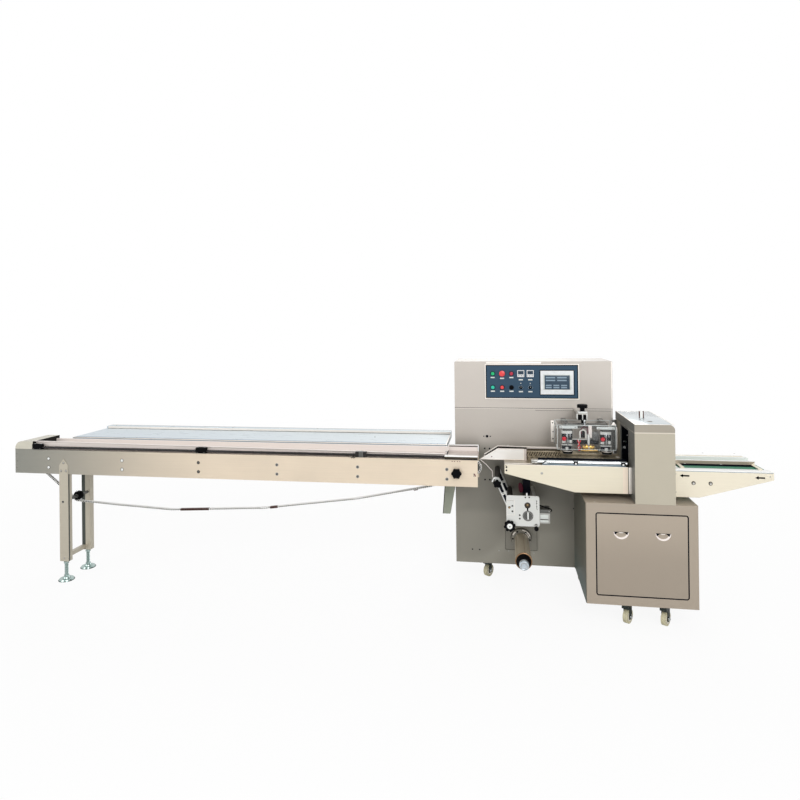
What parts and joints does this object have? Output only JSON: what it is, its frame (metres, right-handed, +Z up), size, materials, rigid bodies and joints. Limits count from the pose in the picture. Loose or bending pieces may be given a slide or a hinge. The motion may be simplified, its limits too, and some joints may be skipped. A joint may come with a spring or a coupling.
{
  "type": "horizontal flow wrapping machine",
  "caption": "Horizontal flow wrapper with a long chain infeed and side table, control cabinet, bag former, film shaft, fin seal unit, end seal tower and belt outfeed.",
  "frame": {"origin": "on the floor, under the middle of the machine's footprint", "axes": "+X with the product from infeed to outfeed, +Y to the back, +Z up"},
  "size_m": [4.73, 0.9, 1.45],
  "materials": {
    "cabinet_sheet": "fine hammered, satin",
    "brushed_sheet": "long-grained brushed stainless",
    "panel_face": "matte, printed with plain marks",
    "screen": "glossy screen in a pale bezel",
    "buttons": "moulded, glossy",
    "black_plastic": "moulded, satin",
    "side_plate": "warm brushed stainless",
    "bright_sheet": "pale polished stainless",
    "chrome_bar": "polished",
    "chain": "nickel-plated links",
    "machined": "machined, satin",
    "white_plate": "smooth white enamel",
    "heater": "machined, heat-toned",
    "clear_sheet": "clear acrylic sheet",
    "belt": "smooth green conveyor belt",
    "dark_rubber": "matte",
    "tyre": "cream polyurethane"
  },
  "bodies": {
    "machine": {"main_cabinet": "brushed_sheet", "control_box": "cabinet_sheet", "control_panel": "panel_face", "touch_screen": "screen", "panel_buttons": "buttons", "temperature_controllers": "black_plastic", "infeed_side_plates": "side_plate", "infeed_bed": "bright_sheet", "infeed_guides": "side_plate", "transfer_plate": "side_plate", "infeed_end_cover": "side_plate", "guide_bar": "chrome_bar", "side_table": "bright_sheet", "table_brackets": "brushed_sheet", "infeed_chain": "chain", "chain_sprockets": "machined", "infeed_legs": "side_plate", "levelling_feet": "chrome_bar", "chain_chute": "brushed_sheet", "wrap_side_plates": "side_plate", "wrap_table": "brushed_sheet", "bag_former": "side_plate", "guard_rail": "chrome_bar", "fin_seal_arm": "white_plate", "fin_seal_frame": "machined", "fin_seal_wheels": "machined", "fin_seal_heater": "heater", "fin_seal_guard": "clear_sheet", "film_feed_plate": "white_plate", "film_feed_motor": "white_plate", "film_arms": "machined", "film_rollers": "dark_rubber", "mark_sensor": "black_plastic", "film_shaft_mount": "machined", "end_seal_cabinet": "cabinet_sheet", "end_seal_door": "cabinet_sheet", "tower_posts": "cabinet_sheet", "seal_jaws": "machined", "outfeed_side_plates": "side_plate", "outfeed_belt": "belt", "outfeed_rollers": "machined", "outfeed_guides": "side_plate", "caster_forks": "machined", "caster_wheels": "tyre"},
    "knob_on_infeed": {"infeed_knob": "black_plastic"},
    "knob_on_film_feed": {"film_feed_knob": "black_plastic"},
    "knob_on_height_screw": {"height_knob": "black_plastic"},
    "film_spindle": {"film_shaft": "brushed_sheet", "film_cone": "black_plastic"},
    "flap": {"guard_flap": "clear_sheet"},
    "hood": {"tower_hood": "cabinet_sheet"}
  },
  "joints": [
    {"name": "infeed_knob_turn", "type": "hinge", "parent": "machine", "child": "knob_on_infeed", "pos_m": [0.644, -0.3, 0.798], "axis": [0, 1, 0], "continuous": true},
    {"name": "film_feed_knob_turn", "type": "hinge", "parent": "machine", "child": "knob_on_film_feed", "pos_m": [0.956, -0.25, 0.482], "axis": [0, 1, 0], "continuous": true},
    {"name": "height_knob_turn", "type": "hinge", "parent": "machine", "child": "knob_on_height_screw", "pos_m": [1.396, -0.157, 1.19], "axis": [0, 0, 1], "continuous": true},
    {"name": "film_shaft_turn", "type": "hinge", "parent": "machine", "child": "film_spindle", "pos_m": [1.033, -0.2, 0.306], "axis": [0, 1, 0], "continuous": true},
    {"name": "guard_flap_lift", "type": "hinge", "parent": "machine", "child": "flap", "pos_m": [1.405, -0.257, 1.093], "axis": [-1, 0, 0], "range_deg": [0, 95]},
    {"name": "hood_lift", "type": "hinge", "parent": "machine", "child": "hood", "pos_m": [1.738, 0.094, 1.0825], "axis": [-1, 0, 0], "range_deg": [0, 75]}
  ]
}
